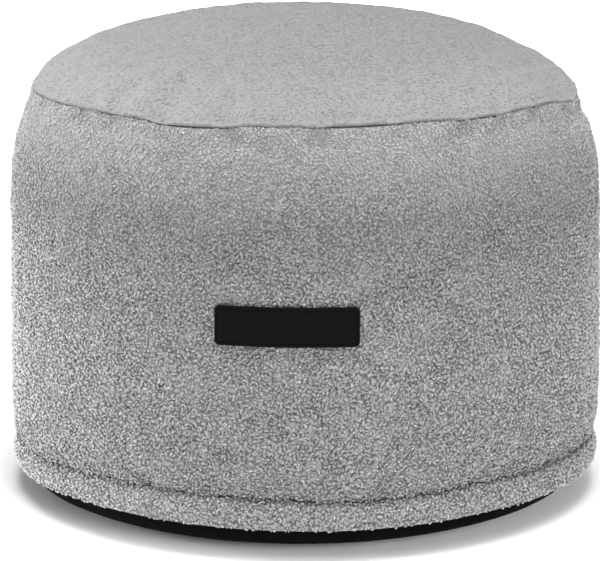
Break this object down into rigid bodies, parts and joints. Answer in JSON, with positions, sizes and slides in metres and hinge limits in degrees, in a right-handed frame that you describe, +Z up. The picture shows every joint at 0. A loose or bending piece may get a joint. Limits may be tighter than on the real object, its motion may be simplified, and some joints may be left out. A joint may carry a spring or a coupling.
{
  "type": "bean bag footstool",
  "caption": "Round drum-shaped footstool of grey boucle cloth with a domed top, a rounded base band, a dark flat base and a plain leather patch.",
  "frame": {"origin": "on the floor under the middle of the drum: the middle of the bounding box's bottom", "axes": "+Z up along the drum's axis, -Y towards the front, where the leather patch is, +X to the right of it as seen from the front"},
  "size_m": [0.4988, 0.4992, 0.401],
  "materials": {
    "boucle": "curly short pile, matt",
    "base_cloth": "plain woven, matt",
    "leather": "fine grained, low sheen"
  },
  "bodies": {
    "root": {"top_panel": "boucle", "side_panel": "boucle", "base_band": "boucle", "bottom_panel": "base_cloth", "label": "leather"}
  },
  "joints": []
}
